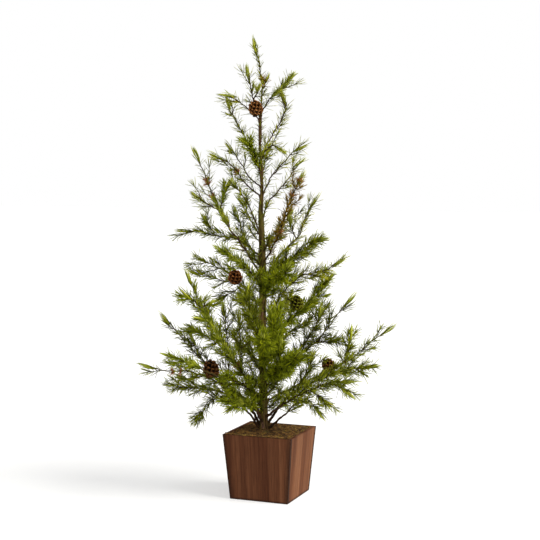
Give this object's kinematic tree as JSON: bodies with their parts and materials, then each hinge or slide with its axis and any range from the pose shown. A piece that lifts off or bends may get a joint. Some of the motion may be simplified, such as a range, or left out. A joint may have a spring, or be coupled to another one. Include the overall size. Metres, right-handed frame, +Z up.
{
  "type": "artificial tabletop tree",
  "caption": "Small artificial evergreen with bendable wired branches, soft needles and pine cones, standing in a tapered wooden planter.",
  "frame": {"origin": "centre of the planter's flat underside", "axes": "+Z up along the trunk, X and Y square to the planter sides; the tree stands turned 21.7 degrees about +Z in its planter"},
  "size_m": [0.3688, 0.3282, 0.7111],
  "materials": {
    "stained_wood": "satin red-brown stain with visible straight grain",
    "plaster": "matt cast plaster",
    "moss_fibre": "matt brown fibre with olive flecks",
    "wrapped_bark": "matt olive-brown paper-like wrap",
    "steel_wire": "drawn steel",
    "needles": "matt moulded needles, mid and dark green",
    "new_growth": "matt moulded needles, bright olive-green",
    "russet_needles": "matt moulded needles, russet brown",
    "cone_scale": "dry matt scales"
  },
  "bodies": {
    "planter": {"board_front": "stained_wood", "board_back": "stained_wood", "board_left": "stained_wood", "board_right": "stained_wood", "base_board": "stained_wood", "ballast_block": "plaster", "moss_mat": "moss_fibre", "trunk_bark": "wrapped_bark", "trunk_core": "steel_wire", "cone_top": "cone_scale"},
    "leader": {"leader": "new_growth"},
    "top_left_upright": {"top_left_upright": "needles"},
    "top_right": {"top_right": "new_growth"},
    "top_left": {"top_left": "needles"},
    "upper_right_hook": {"upper_right_hook": "needles"},
    "upper_left_hook": {"upper_left_hook": "needles"},
    "upper_left_front": {"upper_left_front": "new_growth"},
    "upper_right_front": {"upper_right_front": "needles"},
    "upper_left_dark": {"upper_left_dark": "needles"},
    "upper_left": {"upper_left": "needles"},
    "upper_right": {"upper_right": "needles"},
    "upper_right_long": {"upper_right_long": "needles"},
    "upper_back": {"upper_back": "needles"},
    "middle_left_front": {"middle_left_front": "new_growth"},
    "middle_left_long": {"middle_left_long": "needles"},
    "middle_left": {"middle_left": "needles"},
    "middle_left_back": {"middle_left_back": "needles"},
    "middle_right_russet": {"middle_right_russet": "russet_needles"},
    "middle_right_long": {"middle_right_long": "needles"},
    "middle_right": {"middle_right": "needles"},
    "middle_left_low": {"middle_left_low": "new_growth"},
    "middle_front": {"middle_front": "new_growth"},
    "middle_left_flat": {"middle_left_flat": "needles", "cone_middle_left": "cone_scale"},
    "middle_back_left": {"middle_back_left": "needles"},
    "middle_back_right": {"middle_back_right": "needles"},
    "low_left_long": {"low_left_long": "new_growth"},
    "low_left_rising": {"low_left_rising": "needles"},
    "low_left_reach": {"low_left_reach": "needles"},
    "low_left_front": {"low_left_front": "new_growth", "cone_low_left": "cone_scale"},
    "low_left_back": {"low_left_back": "needles"},
    "low_left_droop": {"low_left_droop": "needles"},
    "low_front_left": {"low_front_left": "new_growth"},
    "low_front": {"low_front": "new_growth"},
    "low_front_right": {"low_front_right": "new_growth"},
    "right_high": {"right_high": "needles", "cone_middle_right": "cone_scale"},
    "right_rising": {"right_rising": "new_growth"},
    "right_slant": {"right_slant": "needles"},
    "right_long": {"right_long": "needles"},
    "right_flat": {"right_flat": "needles", "cone_low_right": "cone_scale"},
    "right_low": {"right_low": "needles"},
    "right_droop": {"right_droop": "needles"},
    "back_high_left": {"back_high_left": "needles"},
    "back_high_right": {"back_high_right": "needles"},
    "back_low_left": {"back_low_left": "needles"},
    "back_low_right": {"back_low_right": "needles"},
    "back_right": {"back_right": "needles"}
  },
  "joints": [
    {"name": "leader_bend", "type": "hinge", "parent": "planter", "child": "leader", "pos_m": [-0.01115, -0.00444, 0.6338], "axis": [-0.5067, 0.8621, 0], "range_deg": [-20, 45]},
    {"name": "top_left_upright_bend", "type": "hinge", "parent": "planter", "child": "top_left_upright", "pos_m": [-0.01615, -0.00777, 0.6], "axis": [-0.6046, 0.7965, 0], "range_deg": [-20, 15]},
    {"name": "top_right_bend", "type": "hinge", "parent": "planter", "child": "top_right", "pos_m": [-0.00944, -0.0067, 0.603], "axis": [-0.2044, -0.9789, 0], "range_deg": [-20, 30]},
    {"name": "top_left_bend", "type": "hinge", "parent": "planter", "child": "top_left", "pos_m": [-0.01645, -0.00844, 0.59], "axis": [-0.637, 0.7709, 0], "range_deg": [-20, 5]},
    {"name": "upper_right_hook_bend", "type": "hinge", "parent": "planter", "child": "upper_right_hook", "pos_m": [-0.01109, -0.00226, 0.538], "axis": [0.6595, -0.7517, 0], "range_deg": [-20, 15]},
    {"name": "upper_left_hook_bend", "type": "hinge", "parent": "planter", "child": "upper_left_hook", "pos_m": [-0.01718, -0.00476, 0.517], "axis": [0.008, 1, 0], "range_deg": [-20, 25]},
    {"name": "upper_left_front_bend", "type": "hinge", "parent": "planter", "child": "upper_left_front", "pos_m": [-0.01274, -0.00934, 0.508], "axis": [-0.9535, 0.3015, 0], "range_deg": [-20, 25]},
    {"name": "upper_right_front_bend", "type": "hinge", "parent": "planter", "child": "upper_right_front", "pos_m": [-0.01045, -0.00853, 0.526], "axis": [-0.6156, -0.7881, 0], "range_deg": [-20, 30]},
    {"name": "upper_left_dark_bend", "type": "hinge", "parent": "planter", "child": "upper_left_dark", "pos_m": [-0.01582, -0.00336, 0.486], "axis": [0.1532, 0.9882, 0], "range_deg": [-20, 35]},
    {"name": "upper_left_bend", "type": "hinge", "parent": "planter", "child": "upper_left", "pos_m": [-0.01475, -0.00855, 0.472], "axis": [-0.7196, 0.6943, 0], "range_deg": [-15, 25]},
    {"name": "upper_right_bend", "type": "hinge", "parent": "planter", "child": "upper_right", "pos_m": [-0.00704, -0.00628, 0.478], "axis": [-0.0126, -0.9999, 0], "range_deg": [-20, 30]},
    {"name": "upper_right_long_bend", "type": "hinge", "parent": "planter", "child": "upper_right_long", "pos_m": [-0.01121, 0.00199, 0.439], "axis": [0.8162, -0.5778, 0], "range_deg": [-20, 30]},
    {"name": "upper_back_bend", "type": "hinge", "parent": "planter", "child": "upper_back", "pos_m": [-0.01308, -0.00043, 0.498], "axis": [0.9836, 0.1804, 0], "range_deg": [-20, 35]},
    {"name": "middle_left_front_bend", "type": "hinge", "parent": "planter", "child": "middle_left_front", "pos_m": [-0.01542, -0.01136, 0.421], "axis": [-0.8965, 0.443, 0], "range_deg": [-20, 30]},
    {"name": "middle_left_long_bend", "type": "hinge", "parent": "planter", "child": "middle_left_long", "pos_m": [-0.01622, -0.00954, 0.355], "axis": [-0.4353, 0.9003, 0], "range_deg": [-20, 20]},
    {"name": "middle_left_bend", "type": "hinge", "parent": "planter", "child": "middle_left", "pos_m": [-0.01852, -0.00472, 0.38], "axis": [-0.1514, 0.9885, 0], "range_deg": [-20, 45]},
    {"name": "middle_left_back_bend", "type": "hinge", "parent": "planter", "child": "middle_left_back", "pos_m": [-0.01737, -0.00052, 0.365], "axis": [0.5297, 0.8482, 0], "range_deg": [-20, 30]},
    {"name": "middle_right_russet_bend", "type": "hinge", "parent": "planter", "child": "middle_right_russet", "pos_m": [-0.00418, -0.00752, 0.372], "axis": [-0.0177, -0.9998, 0], "range_deg": [-20, 10]},
    {"name": "middle_right_long_bend", "type": "hinge", "parent": "planter", "child": "middle_right_long", "pos_m": [-0.00511, 0.00087, 0.349], "axis": [0.5978, -0.8017, 0], "range_deg": [-20, 25]},
    {"name": "middle_right_bend", "type": "hinge", "parent": "planter", "child": "middle_right", "pos_m": [-0.00309, -0.00665, 0.321], "axis": [-0.0167, -0.9999, 0], "range_deg": [-20, 25]},
    {"name": "middle_left_low_bend", "type": "hinge", "parent": "planter", "child": "middle_left_low", "pos_m": [-0.01099, -0.01183, 0.333], "axis": [-0.9403, 0.3403, 0], "range_deg": [-20, 45]},
    {"name": "middle_front_bend", "type": "hinge", "parent": "planter", "child": "middle_front", "pos_m": [-0.00562, -0.01029, 0.312], "axis": [-0.7228, -0.6911, 0], "range_deg": [-20, 45]},
    {"name": "middle_left_flat_bend", "type": "hinge", "parent": "planter", "child": "middle_left_flat", "pos_m": [-0.01807, -0.00252, 0.302], "axis": [-0.0153, 0.9999, 0], "range_deg": [-20, 20]},
    {"name": "middle_back_left_bend", "type": "hinge", "parent": "planter", "child": "middle_back_left", "pos_m": [-0.01687, 0.0006, 0.408], "axis": [0.7081, 0.7061, 0], "range_deg": [-20, 35]},
    {"name": "middle_back_right_bend", "type": "hinge", "parent": "planter", "child": "middle_back_right", "pos_m": [-0.0106, 0.00291, 0.39], "axis": [0.9986, -0.0522, 0], "range_deg": [-20, 45]},
    {"name": "low_left_long_bend", "type": "hinge", "parent": "planter", "child": "low_left_long", "pos_m": [-0.01216, -0.01095, 0.122], "axis": [-0.7189, 0.6951, 0], "range_deg": [0, 10]},
    {"name": "low_left_rising_bend", "type": "hinge", "parent": "planter", "child": "low_left_rising", "pos_m": [-0.01669, -0.00458, 0.113], "axis": [-0.199, 0.98, 0], "range_deg": [-20, 25]},
    {"name": "low_left_reach_bend", "type": "hinge", "parent": "planter", "child": "low_left_reach", "pos_m": [-0.01437, -0.00981, 0.134], "axis": [-0.5624, 0.8269, 0], "range_deg": [-10, 45]},
    {"name": "low_left_front_bend", "type": "hinge", "parent": "planter", "child": "low_left_front", "pos_m": [-0.01018, -0.01186, 0.152], "axis": [-0.8371, 0.547, 0], "range_deg": [-20, 5]},
    {"name": "low_left_back_bend", "type": "hinge", "parent": "planter", "child": "low_left_back", "pos_m": [-0.01677, -0.00113, 0.13], "axis": [0.0866, 0.9962, 0], "range_deg": [-20, 45]},
    {"name": "low_left_droop_bend", "type": "hinge", "parent": "planter", "child": "low_left_droop", "pos_m": [-0.01466, -0.00872, 0.107], "axis": [-0.6196, 0.7849, 0], "range_deg": [-20, 15]},
    {"name": "low_front_left_bend", "type": "hinge", "parent": "planter", "child": "low_front_left", "pos_m": [-0.00864, -0.01163, 0.117], "axis": [-0.9824, 0.1866, 0], "range_deg": [-20, 15]},
    {"name": "low_front_bend", "type": "hinge", "parent": "planter", "child": "low_front", "pos_m": [-0.0072, -0.01142, 0.208], "axis": [-0.9325, -0.3611, 0], "range_deg": [-20, 25]},
    {"name": "low_front_right_bend", "type": "hinge", "parent": "planter", "child": "low_front_right", "pos_m": [-0.00422, -0.00942, 0.182], "axis": [-0.6873, -0.7264, 0], "range_deg": [-20, 40]},
    {"name": "right_high_bend", "type": "hinge", "parent": "planter", "child": "right_high", "pos_m": [-0.00357, -0.00334, 0.28], "axis": [0.2097, -0.9778, 0], "range_deg": [-20, 30]},
    {"name": "right_rising_bend", "type": "hinge", "parent": "planter", "child": "right_rising", "pos_m": [-0.0066, 0.00167, 0.236], "axis": [0.7189, -0.6951, 0], "range_deg": [-20, 40]},
    {"name": "right_slant_bend", "type": "hinge", "parent": "planter", "child": "right_slant", "pos_m": [-0.00207, -0.00486, 0.176], "axis": [0.0959, -0.9954, 0], "range_deg": [-10, 10]},
    {"name": "right_long_bend", "type": "hinge", "parent": "planter", "child": "right_long", "pos_m": [-0.00299, 0.00111, 0.15], "axis": [0.496, -0.8683, 0], "range_deg": [-20, 45]},
    {"name": "right_flat_bend", "type": "hinge", "parent": "planter", "child": "right_flat", "pos_m": [-0.0005, -0.00385, 0.116], "axis": [0.0179, -0.9998, 0], "range_deg": [-15, 5]},
    {"name": "right_low_bend", "type": "hinge", "parent": "planter", "child": "right_low", "pos_m": [-0.00202, -0.00791, 0.126], "axis": [-0.2461, -0.9692, 0], "range_deg": [-20, 30]},
    {"name": "right_droop_bend", "type": "hinge", "parent": "planter", "child": "right_droop", "pos_m": [-0.00034, -0.0045, 0.107], "axis": [0.0644, -0.9979, 0], "range_deg": [-20, 15]},
    {"name": "back_high_left_bend", "type": "hinge", "parent": "planter", "child": "back_high_left", "pos_m": [-0.01664, 0.00146, 0.236], "axis": [0.7464, 0.6655, 0], "range_deg": [-20, 45]},
    {"name": "back_high_right_bend", "type": "hinge", "parent": "planter", "child": "back_high_right", "pos_m": [-0.01199, 0.00317, 0.252], "axis": [0.9991, 0.043, 0], "range_deg": [-20, 45]},
    {"name": "back_low_left_bend", "type": "hinge", "parent": "planter", "child": "back_low_left", "pos_m": [-0.01548, 0.00211, 0.195], "axis": [0.7634, 0.6459, 0], "range_deg": [-20, 25]},
    {"name": "back_low_right_bend", "type": "hinge", "parent": "planter", "child": "back_low_right", "pos_m": [-0.01047, 0.00413, 0.166], "axis": [0.9999, 0.0124, 0], "range_deg": [-20, 35]},
    {"name": "back_right_bend", "type": "hinge", "parent": "planter", "child": "back_right", "pos_m": [-0.00848, 0.00305, 0.222], "axis": [0.8958, -0.4445, 0], "range_deg": [-20, 45]}
  ]
}
